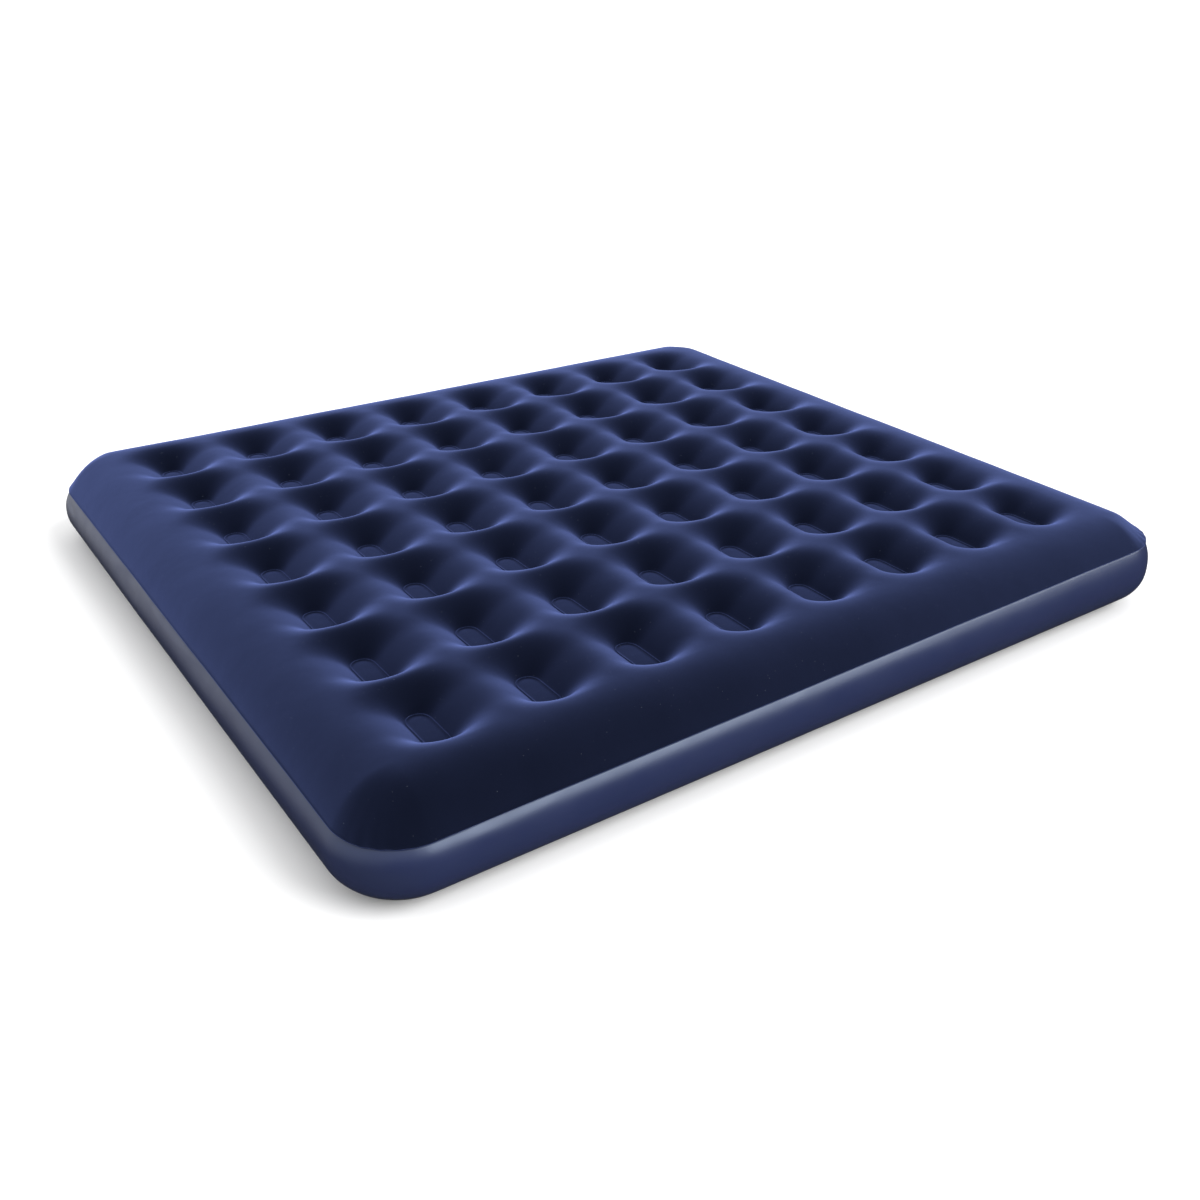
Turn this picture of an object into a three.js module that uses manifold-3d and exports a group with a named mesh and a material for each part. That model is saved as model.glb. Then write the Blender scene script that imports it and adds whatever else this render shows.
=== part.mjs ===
// Inflated air bed: a flocked top sheet, a vinyl side wall and a vinyl bottom sheet, held flat by a
// grid of inner film coils, with a screw valve in one short end. Millimetres, +Z up, origin on the
// floor at the middle of the bed, +X along the bed and +Y across it.
import * as THREE from 'three';
import { mergeVertices } from 'three/addons/utils/BufferGeometryUtils.js';
import Module from 'manifold-3d';

const wasm = await Module();
wasm.setup();

// ---- Driving dimensions of the bed ----
const LENGTH = 2030;
const WIDTH = 1830;
const HEIGHT = 220;
const COLUMNS = 8;
const ROWS = 7;
const MARGIN = 120;          // from the outer coil cells to the top seam, and the corner radius
const BULGE = 16;            // how far the side wall swells past the top seam
const SEAM_HEIGHT = 149;
const LAP = 8;               // overlap of two sheets at a welded seam
const FILM = 0.5;
const GAP = 0.3;             // between pieces that touch
const ROLL_RADIUS = 60;      // of the side wall where it curls under
const PAD_WIDTH = 62;
const PAD_LENGTH = 118;
const PAD_DEPTH = 56;        // from the highest or lowest plane of the bed to a welded pad
const COIL_INSET = 1;        // from a pad's edge to its coil
const CROSS_SAG = 13;        // how far the ridge between two columns dips at its middle
const ALONG_SAG = 9;         // how far the ridge between two rows dips at its middle
const RIM_SAG = 14;          // how far the top's crest round the outer cells lies below the highest plane

// ---- Driving dimensions of the valve, along its own axis, zero at the side wall's outer face ----
const VALVE_HEIGHT = 91;
const VALVE_ASIDE = WIDTH / 4;
const LOOSE = 0.4;           // between round pieces that slip over each other
const FLANGE_RADIUS = 29;
const FLANGE_TOP = 1.3;
const BARREL_RADIUS = 21.9;
const BARREL_LOW = -16;
const SOCKET_RADIUS = 19.4;
const COLLAR_TOP = 4.5;
const INSERT_RADIUS = 17;
const INSERT_LOW = -17;
const SKIRT_WALL = 1.4;
const RIM_RADIUS = 24;
const RIM_LOW = 5.9;
const RIM_HIGH = 8.9;
const GRIP_NOTCHES = 10;
const GRIP_NOTCH_RADIUS = 2.4;
const NECK_RADIUS = 10.5;
const BORE_RADIUS = 8.5;
const NECK_LOW = -12;
const NECK_TOP = 20;
const FLAP_RADIUS = 9.8;
const FLAP_THICKNESS = 1.2;
const HINGE_OFFSET = 12.8;   // from the valve's axis to the flap's pin
const HINGE_DEPTH = NECK_LOW - 1.5;
const PIN_RADIUS = 0.8;
const PIN_BORE_RADIUS = 1.1;
const PIN_LENGTH = 9.6;
const KNUCKLE_RADIUS = 1.9;
const KNUCKLE_WIDTH = 4.4;
const LUG_ASIDE = 3.6;
const CAP_BORE_RADIUS = 12.5;
const CAP_RADIUS = 15;
const CAP_RIBS = 18;
const CAP_RIB_HEIGHT = 0.8;
const CAP_LOW = RIM_HIGH + 2.3;
const CAP_CEILING = NECK_TOP + 1.4;
const CAP_HIGH = NECK_TOP + 3.2;
const SEAL_RADIUS = 11.6;
const STRAP_WIDTH = 6;
const STRAP_THICKNESS = 1.3;
const INSERT_THREAD = { depth: 1.5, pitch: 5, width: 2 };
const CAP_THREAD = { depth: 1.35, pitch: 4, width: 1.6 };

// ---- Sizes that follow from them ----
const PITCH_X = (LENGTH - 2 * BULGE - 2 * MARGIN) / COLUMNS;
const PITCH_Y = (WIDTH - 2 * BULGE - 2 * MARGIN) / ROWS;
const GRID_X = PITCH_X * COLUMNS / 2;
const GRID_Y = PITCH_Y * ROWS / 2;
const CROWN = HEIGHT - SEAM_HEIGHT;
const RIM_CROWN = CROWN - RIM_SAG;
const WIDEST = MARGIN + BULGE;
const ROLL_CENTRE = WIDEST - ROLL_RADIUS;

const flock = { color: 0x2c3a66, roughness: 0.95, metalness: 0 };
const vinyl = { color: 0x28365e, roughness: 0.35, metalness: 0 };
const innerFilm = { color: 0x3a4568, roughness: 0.45, metalness: 0 };
const valvePlastic = { color: 0x1d2647, roughness: 0.4, metalness: 0 };
const capPlastic = { color: 0x8d939c, roughness: 0.45, metalness: 0 };
const seal = { color: 0x15161a, roughness: 0.8, metalness: 0 };

const radians = THREE.MathUtils.degToRad;

function named(name, geometry, look) {
  const mesh = new THREE.Mesh(geometry, new THREE.MeshStandardMaterial(look));
  mesh.name = name;
  return mesh;
}

// ---- Solids: between three.js meshes and boolean solids ----
function toSolid(source) {
  const bare = source.clone();
  bare.deleteAttribute('normal');
  bare.deleteAttribute('uv');
  const merged = mergeVertices(bare, 1e-4);
  const vertProperties = new Float32Array(merged.attributes.position.array);
  const triVerts = new Uint32Array(merged.index.array);
  return new wasm.Manifold(new wasm.Mesh({ numProp: 3, vertProperties, triVerts }));
}

function toGeometry(solid) {
  const mesh = solid.getMesh();
  return indexed(Array.from(mesh.vertProperties), Array.from(mesh.triVerts));
}

function indexed(numbers, triangles) {
  const geometry = new THREE.BufferGeometry();
  geometry.setAttribute('position', new THREE.Float32BufferAttribute(numbers, 3));
  geometry.setIndex(triangles);
  return geometry;
}

function joined(...geometries) {
  return toGeometry(geometries.map(toSolid).reduce((whole, next) => whole.add(next)));
}

function cut(geometry, ...tools) {
  return toGeometry(tools.map(toSolid).reduce((left, tool) => left.subtract(tool), toSolid(geometry)));
}

// ---- Outline of the bed: the coil grid's rectangle, pushed outwards ----
const CORNER_STEPS = 5;

// One sample is a point on the grid's rectangle and the way out from it.
function outline() {
  const samples = [];
  [[1, 1], [-1, 1], [-1, -1], [1, -1]].forEach(([sideX, sideY], corner) => {
    for (let step = 0; step <= CORNER_STEPS; step += 1) {
      const angle = radians(90 * (corner + step / CORNER_STEPS));
      samples.push({ x: sideX * GRID_X, y: sideY * GRID_Y, outX: Math.cos(angle), outY: Math.sin(angle) });
    }
  });
  return samples;
}

const OUTLINE = outline();

function ring(reach, z) {
  return OUTLINE.map(({ x, y, outX, outY }) => [x + outX * reach, y + outY * reach, z]);
}

// The points of a section moved inwards by a thickness. A section runs from the crown towards a
// seam, as [reach, depth], or down the side wall, as [reach, z]: falling is +1 or -1 for the two.
function insideOf(section, thickness, falling) {
  return section.map(([reach, height], i) => {
    const [nextReach, nextHeight] = section[Math.min(i + 1, section.length - 1)];
    const [lastReach, lastHeight] = section[Math.max(i - 1, 0)];
    const inward = thickness * falling / Math.hypot(nextReach - lastReach, nextHeight - lastHeight);
    return [reach - (nextHeight - lastHeight) * inward, height + (nextReach - lastReach) * inward];
  });
}

// ---- Welded pads and the dimpled cells round them ----
// An octagon inside the pad's long oval: straight sides, and two points on each rounded end.
function padOutline(inset = 0) {
  const half = PAD_WIDTH / 2 - inset;
  const straight = (PAD_LENGTH - PAD_WIDTH) / 2;
  const tip = PAD_LENGTH / 2 - inset;
  return [[half, straight], [half / 2, tip], [-half / 2, tip], [-half, straight],
    [-half, -straight], [-half / 2, -tip], [half / 2, -tip], [half, -straight]];
}

// Eight points on a cell's border, from the middle of its +X side, each with the ridge's sag there.
function cellBorder() {
  const [x, y] = [PITCH_X / 2, PITCH_Y / 2];
  return [[x, 0, CROSS_SAG], [x, y, 0], [0, y, ALONG_SAG], [-x, y, 0],
    [-x, 0, CROSS_SAG], [-x, -y, 0], [0, -y, ALONG_SAG], [x, -y, 0]];
}

function coilPlaces() {
  const places = [];
  for (let row = 0; row < ROWS; row += 1) {
    for (let column = 0; column < COLUMNS; column += 1) {
      places.push([(column + 0.5) * PITCH_X - GRID_X, (row + 0.5) * PITCH_Y - GRID_Y]);
    }
  }
  return places;
}

// The dimpled middle of a sheet and its rim, as one triangle net seen from outside the bed.
// Depths are measured from the crown plane towards the inside, and sections run from the grid out.
class SheetNet {
  constructor(rimSag) {
    this.rimSag = rimSag;
    this.points = [];
    this.triangles = [];
    this.byPlace = new Map();
  }

  point(x, y, depth) {
    const key = `${x.toFixed(3)},${y.toFixed(3)}`;
    if (!this.byPlace.has(key)) {
      this.byPlace.set(key, this.points.length);
      this.points.push([x, y, depth]);
    }
    return this.byPlace.get(key);
  }

  cell(centreX, centreY) {
    const pad = padOutline().map(([x, y]) => this.point(centreX + x, centreY + y, PAD_DEPTH));
    const border = cellBorder().map(([x, y, sag]) => {
      const edgeX = Math.abs(Math.abs(centreX + x) - GRID_X) < 1;
      const edgeY = Math.abs(Math.abs(centreY + y) - GRID_Y) < 1;
      return this.point(centreX + x, centreY + y, edgeX || edgeY ? this.rimSag : sag);
    });
    for (let i = 0; i < pad.length; i += 1) {
      const next = (i + 1) % pad.length;
      this.triangles.push([pad[i], border[i], border[next]], [pad[i], border[next], pad[next]]);
      if (i > 0 && next > 0) {
        this.triangles.push([pad[0], pad[i], pad[next]]);
      }
    }
  }

  // The points along the grid's edge, anticlockwise, as four sides that each start at a corner.
  gridSides() {
    const onX = ({ x }) => Math.abs(Math.abs(x) - GRID_X) < 1;
    const onY = ({ y }) => Math.abs(Math.abs(y) - GRID_Y) < 1;
    const edge = this.points.map(([x, y], index) => ({ x, y, index })).filter((p) => onX(p) || onY(p));
    edge.sort((a, b) => Math.atan2(a.y, a.x) - Math.atan2(b.y, b.x));
    const first = edge.findIndex((p) => onX(p) && onY(p) && p.x > 0 && p.y > 0);
    const turned = edge.slice(first).concat(edge.slice(0, first), edge[first]);
    const corners = turned.map((p, i) => (onX(p) && onY(p) ? i : -1)).filter((i) => i >= 0);
    return [0, 1, 2, 3].map((side) => turned.slice(corners[side], corners[side + 1] + 1).map((p) => p.index));
  }

  // Fans from the grid's corners and sides to the first ring, then plain bands between the rings.
  margin(rings) {
    const start = this.points.length;
    const count = OUTLINE.length;
    this.gridSides().forEach((side, corner) => {
      const arc = start + corner * (CORNER_STEPS + 1);
      for (let i = 0; i < CORNER_STEPS; i += 1) {
        this.triangles.push([side[0], arc + i, arc + i + 1]);
      }
      const here = arc + CORNER_STEPS;
      const there = start + ((corner + 1) * (CORNER_STEPS + 1)) % count;
      const middle = Math.floor(side.length / 2);
      for (let i = 0; i + 1 < side.length; i += 1) {
        this.triangles.push([side[i], i < middle ? here : there, side[i + 1]]);
      }
      this.triangles.push([side[middle], here, there]);
    });
    rings.forEach((points) => this.points.push(...points));
    for (let i = 1; i < rings.length; i += 1) {
      this.band(start + (i - 1) * count, start + i * count, count);
    }
  }

  band(inner, outer, count) {
    for (let i = 0; i < count; i += 1) {
      const next = (i + 1) % count;
      this.triangles.push([inner + i, outer + i, outer + next], [inner + i, outer + next, inner + next]);
    }
  }
}

// A closed sheet from the outer section of its rim; side is +1 for the top and -1 for the bottom.
function sheetGeometry(section, side) {
  const nets = [section, insideOf(section, FILM, 1)].map((rim, layer) => {
    const net = new SheetNet(side > 0 ? RIM_SAG : 0);
    coilPlaces().forEach(([x, y]) => net.cell(x, y));
    net.points.forEach((point) => { point[2] += layer * FILM; });
    net.margin(rim.map(([reach, depth]) => ring(reach, depth)));
    return net;
  });
  const triangles = nets[0].triangles.slice();
  const count = nets[0].points.length;
  nets[1].triangles.forEach(([a, b, c]) => triangles.push([a + count, c + count, b + count]));
  for (let i = 0; i < OUTLINE.length; i += 1) {
    const here = count - OUTLINE.length + i;
    const next = count - OUTLINE.length + (i + 1) % OUTLINE.length;
    triangles.push([here, here + count, next + count], [here, next + count, next]);
  }
  const crown = side > 0 ? HEIGHT : 0;
  const numbers = nets.flatMap((net) => net.points.flatMap(([x, y, depth]) => [x, y, crown - side * depth]));
  const facing = side > 0 ? triangles : triangles.map(([a, b, c]) => [a, c, b]);
  return indexed(numbers, facing.flat());
}

// Top rim: a quarter of an ellipse from the crown down to the seam, the last stretch lapping the wall.
function topSection() {
  const shares = [0.055, 0.245, 0.535];
  const depths = [...shares.map((share) => RIM_SAG + share * RIM_CROWN), CROWN - LAP, CROWN];
  return depths.map((depth) => [ellipseReach(depth), depth]);
}

function ellipseReach(depth) {
  return MARGIN * Math.sqrt(1 - ((CROWN - depth) / RIM_CROWN) ** 2);
}

// Angles down the roll from the side: the wall runs to the last lap angle, the bottom from the floor.
const WALL_ROLL_ANGLES = [0, 15, 30];
const LAP_ANGLES = [45, 55];
const BOTTOM_ROLL_ANGLES = [90, 74, 58];

// Bottom rim: flat on the floor, then up the roll, then a lap inside the wall's lower edge.
function bottomSection() {
  const roll = BOTTOM_ROLL_ANGLES.map((angle) => rollPoint(angle, ROLL_RADIUS));
  const lap = LAP_ANGLES.toReversed().map((angle) => rollPoint(angle, ROLL_RADIUS - FILM - GAP));
  return roll.concat(lap);
}

function rollPoint(angle, radius) {
  return [ROLL_CENTRE + radius * Math.cos(radians(angle)), ROLL_RADIUS - radius * Math.sin(radians(angle))];
}

// Side wall: inside the top sheet's lap, out over the shoulder, down a flat side and round the roll.
function wallSection() {
  const behindLap = FILM + GAP;
  const shoulder = [WIDEST - BULGE / 3, SEAM_HEIGHT - 4];
  const upper = [
    [ellipseReach(CROWN - LAP) - behindLap, SEAM_HEIGHT + LAP],
    [MARGIN - behindLap, SEAM_HEIGHT],
    [MARGIN - behindLap, SEAM_HEIGHT - 2 * GAP],
    shoulder,
    [WIDEST, VALVE_HEIGHT + FLANGE_RADIUS + 2],
  ];
  const roll = [...WALL_ROLL_ANGLES, ...LAP_ANGLES].map((angle) => rollPoint(angle, ROLL_RADIUS));
  return upper.concat(roll);
}

// A closed band swept round the outline, from the outer section of its film.
function sweptBand(section) {
  const loop = section.concat(insideOf(section, FILM, -1).reverse());
  const numbers = loop.flatMap(([reach, z]) => ring(reach, z).flat());
  const triangles = [];
  const count = OUTLINE.length;
  loop.forEach((_, row) => {
    const below = (row + 1) % loop.length;
    for (let i = 0; i < count; i += 1) {
      const next = (i + 1) % count;
      const [a, b] = [row * count + i, row * count + next];
      const [c, d] = [below * count + next, below * count + i];
      triangles.push(a, d, c, a, c, b);
    }
  });
  return indexed(numbers, triangles);
}

// ---- Inner coils ----
function shapeOf(points) {
  return new THREE.Shape(points.map(([x, y]) => new THREE.Vector2(x, y)));
}

// A tube of film, open at both ends, between a top pad and the bottom pad under it.
function coilTube(centreX) {
  const low = PAD_DEPTH + FILM + GAP;
  const shape = shapeOf(padOutline(COIL_INSET));
  shape.holes.push(new THREE.Path(shapeOf(padOutline(COIL_INSET + FILM)).getPoints()));
  const tube = new THREE.ExtrudeGeometry(shape, { depth: HEIGHT - 2 * low, bevelEnabled: false });
  tube.translate(centreX, 0, low);
  return tube;
}

// Two neighbouring coils and the strip of film that ties them at half height.
function coilPair() {
  const stripWidth = 20;
  const reach = PITCH_X - PAD_WIDTH + 2 * COIL_INSET + FILM;
  const strip = new THREE.BoxGeometry(reach, FILM, stripWidth);
  strip.translate(0, 0, HEIGHT / 2);
  return joined(coilTube(-PITCH_X / 2), coilTube(PITCH_X / 2), strip);
}

function coilPairs() {
  const group = new THREE.Group();
  const geometry = coilPair();
  for (let row = 0; row < ROWS; row += 1) {
    for (let pair = 0; pair < COLUMNS / 2; pair += 1) {
      const mesh = named(`coil_pair_${row + 1}_${pair + 1}`, geometry, innerFilm);
      mesh.position.set((2 * pair + 1) * PITCH_X - GRID_X, (row + 0.5) * PITCH_Y - GRID_Y, 0);
      group.add(mesh);
    }
  }
  return group;
}

// ---- Valve: round pieces about the local +Z axis, which points out of the bed ----
function turned(profile, segments = 32) {
  const points = profile.concat([profile[0]]).map(([r, z]) => new THREE.Vector2(r, z));
  const geometry = new THREE.LatheGeometry(points, segments);
  geometry.rotateX(Math.PI / 2);
  return geometry;
}

function washer(innerRadius, outerRadius, low, high, segments = 32) {
  return turned([[innerRadius, low], [outerRadius, low], [outerRadius, high], [innerRadius, high]], segments);
}

function rod(radius, low, high, segments = 24) {
  const geometry = new THREE.CylinderGeometry(radius, radius, high - low, segments);
  geometry.rotateX(Math.PI / 2);
  geometry.translate(0, 0, (low + high) / 2);
  return geometry;
}

function block(width, depth, height, x, y, z) {
  const geometry = new THREE.BoxGeometry(width, depth, height);
  geometry.translate(x, y, z);
  return geometry;
}

// A right-hand screw ridge that stands depth out of its wall, or into the bore where depth is
// negative. Its root is sunk into the wall.
function screwRidge(root, depth, { pitch, width }, low, turns) {
  const stepsPerTurn = 20;
  const steps = Math.round(turns * stepsPerTurn);
  const sunkRoot = root - 0.5 * Math.sign(depth);
  const crest = root + depth;
  const crestWidth = width * 0.6;
  const section = [[sunkRoot, -width / 2], [crest, -crestWidth / 2]];
  section.push([crest, crestWidth / 2], [sunkRoot, width / 2]);
  const corners = section.length;
  const numbers = [];
  const triangles = [];
  for (let step = 0; step <= steps; step += 1) {
    const angle = 2 * Math.PI * step / stepsPerTurn;
    const height = low + pitch * step / stepsPerTurn;
    section.forEach(([r, z]) => numbers.push(r * Math.cos(angle), r * Math.sin(angle), height + z));
    for (let i = 0; step < steps && i < corners; i += 1) {
      const [a, b] = [step * corners + i, step * corners + (i + 1) % corners];
      triangles.push([a, a + corners, b + corners], [a, b + corners, b]);
    }
  }
  const end = steps * corners;
  triangles.push([0, 1, 2], [0, 2, 3], [end, end + 2, end + 1], [end, end + 3, end + 2]);
  const facing = depth > 0 ? triangles : triangles.map(([a, b, c]) => [a, c, b]);
  return indexed(numbers, facing.flat());
}

// The two halves of a thread run half a pitch apart.
const INSERT_THREAD_LOW = INSERT_LOW + 3;
const SOCKET_THREAD_LOW = INSERT_THREAD_LOW + INSERT_THREAD.pitch / 2;
const NECK_THREAD_LOW = NECK_TOP - 7.5;
const CAP_THREAD_LOW = NECK_THREAD_LOW + CAP_THREAD.pitch / 2;

// Barrel with the socket's thread, a flange welded to the wall, and a collar for the gasket.
function valveBase() {
  const filletTop = FLANGE_TOP + 0.6;
  const body = turned([
    [SOCKET_RADIUS, BARREL_LOW], [BARREL_RADIUS, BARREL_LOW], [BARREL_RADIUS, GAP], [FLANGE_RADIUS, GAP],
    [FLANGE_RADIUS, FLANGE_TOP], [BARREL_RADIUS + 2, filletTop], [BARREL_RADIUS + 1, COLLAR_TOP],
    [SOCKET_RADIUS, COLLAR_TOP],
  ]);
  return joined(body, screwRidge(SOCKET_RADIUS, -INSERT_THREAD.depth, INSERT_THREAD, SOCKET_THREAD_LOW, 1.5));
}

function valvePatch() {
  const outerFace = -FILM - GAP;
  const thickness = 0.6;
  return washer(BARREL_RADIUS + LOOSE, FLANGE_RADIUS, outerFace - thickness, outerFace);
}

function valveGasket() {
  return washer(INSERT_RADIUS + LOOSE, BARREL_RADIUS + 0.5, COLLAR_TOP + GAP, RIM_LOW - GAP);
}

// Screw plug: outer skirt with the screw ridge, and a rim with grip notches round the neck's hole.
function valveInsert() {
  const webLow = RIM_LOW - 1;
  const skirtInside = INSERT_RADIUS - SKIRT_WALL;
  const body = turned([
    [NECK_RADIUS + GAP, webLow], [skirtInside, webLow], [skirtInside, INSERT_LOW],
    [INSERT_RADIUS, INSERT_LOW], [INSERT_RADIUS, RIM_LOW], [RIM_RADIUS - LOOSE, RIM_LOW],
    [RIM_RADIUS, RIM_HIGH - 1], [RIM_RADIUS - 1, RIM_HIGH], [NECK_RADIUS + GAP, RIM_HIGH],
  ]);
  const thread = screwRidge(INSERT_RADIUS, INSERT_THREAD.depth, INSERT_THREAD, INSERT_THREAD_LOW, 2);
  const notches = Array.from({ length: GRIP_NOTCHES }, (_, i) => gripNotch(i));
  return cut(joined(body, thread), ...notches);
}

function gripNotch(index) {
  const notch = rod(GRIP_NOTCH_RADIUS, RIM_LOW - 1, RIM_HIGH + 1, 8);
  notch.translate(RIM_RADIUS + 1, 0, 0);
  notch.rotateZ(2 * Math.PI * (index + 0.5) / GRIP_NOTCHES);
  return notch;
}

// Tube through the plug with the cap's thread outside, a stop ring under the plug's web, and the two
// lugs of the flap's hinge at its inner end.
function valveNeck() {
  const stopTop = RIM_LOW - 1 - GAP;
  const stopRadius = NECK_RADIUS + 2;
  const stopThickness = 1.5;
  const body = turned([
    [BORE_RADIUS, NECK_LOW], [NECK_RADIUS, NECK_LOW], [NECK_RADIUS, stopTop - stopThickness],
    [stopRadius, stopTop - stopThickness], [stopRadius, stopTop], [NECK_RADIUS, stopTop],
    [NECK_RADIUS, NECK_TOP], [BORE_RADIUS, NECK_TOP],
  ]);
  const thread = screwRidge(NECK_RADIUS, CAP_THREAD.depth, CAP_THREAD, NECK_THREAD_LOW, 1.5);
  return joined(body, thread, hingeLug(-LUG_ASIDE), hingeLug(LUG_ASIDE));
}

function hingeLug(aside) {
  const [reach, thickness, height] = [4.7, 1.6, 6];
  const plate = block(reach, thickness, height, 0.5 - HINGE_OFFSET, aside, HINGE_DEPTH + 1.4);
  return cut(plate, hingeRod(PIN_BORE_RADIUS, 2 * PIN_LENGTH));
}

function hingeRod(radius, length) {
  const geometry = new THREE.CylinderGeometry(radius, radius, length, 10);
  geometry.translate(-HINGE_OFFSET, 0, HINGE_DEPTH);
  return geometry;
}

// A round flap under the neck, with a knuckle between the two lugs.
function checkFlap() {
  const high = NECK_LOW - GAP;
  const low = high - FLAP_THICKNESS;
  const reach = 5;
  const arm = block(reach, KNUCKLE_WIDTH, FLAP_THICKNESS, reach / 2 - HINGE_OFFSET, 0, (low + high) / 2);
  const flap = joined(rod(FLAP_RADIUS, low, high), arm, hingeRod(KNUCKLE_RADIUS, KNUCKLE_WIDTH));
  return cut(flap, hingeRod(PIN_BORE_RADIUS, 2 * PIN_LENGTH));
}

function flapPin() {
  return hingeRod(PIN_RADIUS, PIN_LENGTH);
}

// Ring round the neck, and a strap that leaves it, turns out past the cap and back in to the cap's rim.
function capTether() {
  const low = RIM_HIGH + LOOSE;
  const ringHigh = low + STRAP_THICKNESS;
  const collarRadius = CAP_BORE_RADIUS + 0.7;
  const collar = washer(NECK_RADIUS + LOOSE, collarRadius, low, ringHigh, 24);
  const [root, outside, lip] = [collarRadius - 0.8, CAP_RADIUS + 5.4, CAP_RADIUS + 1.2];
  const [high, bend] = [CAP_HIGH - 0.8, 1.6];
  const inside = outside - STRAP_THICKNESS;
  const strap = shapeOf([
    [root, low], [outside - bend, low], [outside, low + bend], [outside, high - bend], [outside - bend, high],
    [lip, high], [lip, high - STRAP_THICKNESS], [inside - bend / 2, high - STRAP_THICKNESS],
    [inside, high - STRAP_THICKNESS - bend / 2], [inside, ringHigh + bend / 2], [inside - bend / 2, ringHigh],
    [root, ringHigh],
  ]);
  const band = new THREE.ExtrudeGeometry(strap, { depth: STRAP_WIDTH, bevelEnabled: false });
  band.translate(0, 0, -STRAP_WIDTH / 2);
  band.rotateX(Math.PI / 2);
  return joined(collar, band);
}

function ribbedOutline() {
  return Array.from({ length: CAP_RIBS * 2 }, (_, i) => {
    const radius = CAP_RADIUS + CAP_RIB_HEIGHT * (i % 2);
    const angle = Math.PI * i / CAP_RIBS;
    return [radius * Math.cos(angle), radius * Math.sin(angle)];
  });
}

function valveCap() {
  const depth = CAP_HIGH - CAP_LOW;
  const body = new THREE.ExtrudeGeometry(shapeOf(ribbedOutline()), { depth, bevelEnabled: false });
  body.translate(0, 0, CAP_LOW);
  const hollow = cut(body, rod(CAP_BORE_RADIUS, CAP_LOW - 1, CAP_CEILING));
  return joined(hollow, screwRidge(CAP_BORE_RADIUS, -CAP_THREAD.depth, CAP_THREAD, CAP_THREAD_LOW, 1));
}

function capSeal() {
  return rod(SEAL_RADIUS, NECK_TOP + GAP, CAP_CEILING - GAP);
}

function valve() {
  const group = new THREE.Group();
  group.add(named('valve_base', valveBase(), valvePlastic));
  group.add(named('valve_patch', valvePatch(), vinyl));
  group.add(named('valve_gasket', valveGasket(), seal));
  group.add(named('valve_insert', valveInsert(), valvePlastic));
  group.add(named('valve_neck', valveNeck(), valvePlastic));
  group.add(named('check_flap', checkFlap(), seal));
  group.add(named('flap_pin', flapPin(), capPlastic));
  group.add(named('cap_tether', capTether(), capPlastic));
  group.add(named('valve_cap', valveCap(), capPlastic));
  group.add(named('cap_seal', capSeal(), seal));
  group.position.set(LENGTH / 2, VALVE_ASIDE, VALVE_HEIGHT);
  group.rotation.y = Math.PI / 2;
  return group;
}

function sideWall() {
  const hole = rod(BARREL_RADIUS + LOOSE, BARREL_LOW, -BARREL_LOW);
  hole.rotateY(Math.PI / 2);
  hole.translate(LENGTH / 2, VALVE_ASIDE, VALVE_HEIGHT);
  return cut(sweptBand(wallSection()), hole);
}

const bed = new THREE.Group();
bed.add(named('top_sheet', sheetGeometry(topSection(), 1), flock));
bed.add(named('side_wall', sideWall(), vinyl));
bed.add(named('bottom_sheet', sheetGeometry(bottomSection(), -1), vinyl));
bed.add(coilPairs());
bed.add(valve());

export default bed;
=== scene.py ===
"""Looks of an inflated air bed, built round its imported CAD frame. Metres, +Z up."""
import math

import bpy
from mathutils import Matrix, Vector, noise


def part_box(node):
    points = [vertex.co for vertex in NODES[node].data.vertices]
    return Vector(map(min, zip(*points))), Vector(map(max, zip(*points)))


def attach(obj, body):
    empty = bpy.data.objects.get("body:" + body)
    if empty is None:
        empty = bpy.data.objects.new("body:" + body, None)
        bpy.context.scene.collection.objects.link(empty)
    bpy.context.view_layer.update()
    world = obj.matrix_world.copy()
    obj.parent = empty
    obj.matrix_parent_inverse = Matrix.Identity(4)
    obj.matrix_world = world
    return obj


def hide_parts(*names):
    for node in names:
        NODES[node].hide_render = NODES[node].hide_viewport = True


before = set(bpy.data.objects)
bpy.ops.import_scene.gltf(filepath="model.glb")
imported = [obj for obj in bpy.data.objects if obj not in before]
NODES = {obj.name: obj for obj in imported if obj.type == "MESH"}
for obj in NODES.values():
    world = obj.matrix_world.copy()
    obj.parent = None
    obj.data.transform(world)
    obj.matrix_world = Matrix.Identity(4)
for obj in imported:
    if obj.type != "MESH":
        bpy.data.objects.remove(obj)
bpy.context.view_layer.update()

MM = 0.001

# ---- Sizes read from the frame ----
TOP_LOW, TOP_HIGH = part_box("top_sheet")
WALL_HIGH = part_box("side_wall")[1]
PAIR_LOW, PAIR_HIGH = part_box("coil_pair_1_1")
COIL_INSET = 1 * MM                      # a coil stands this far inside its weld pad's edge
FILM_AND_GAP = 0.8 * MM                  # from a coil's end to the outer face of the pad
PITCH_X = (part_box("coil_pair_1_2")[0].x - PAIR_LOW.x) / 2     # from one coil to the next
PITCH_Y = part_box("coil_pair_2_1")[0].y - PAIR_LOW.y
COLUMNS = 2 * sum(name.startswith("coil_pair_1_") for name in NODES)
ROWS = sum(name.startswith("coil_pair_") and name.endswith("_1") for name in NODES)
GRID_X = PITCH_X * COLUMNS / 2           # the grid of coil cells reaches this far from the middle
GRID_Y = PITCH_Y * ROWS / 2
HEIGHT = TOP_HIGH.z
SEAM_HEIGHT = TOP_LOW.z
MARGIN = TOP_HIGH.x - GRID_X             # from the coil cells to the top seam
BULGE = WALL_HIGH.x - TOP_HIGH.x         # how far the side wall stands out past the seam
PAD_HEIGHT = PAIR_HIGH.z + FILM_AND_GAP  # level of the weld pads in the top sheet
PEEL = 6 * MM                            # the pressed oval is this much narrower than its weld, each side
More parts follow.
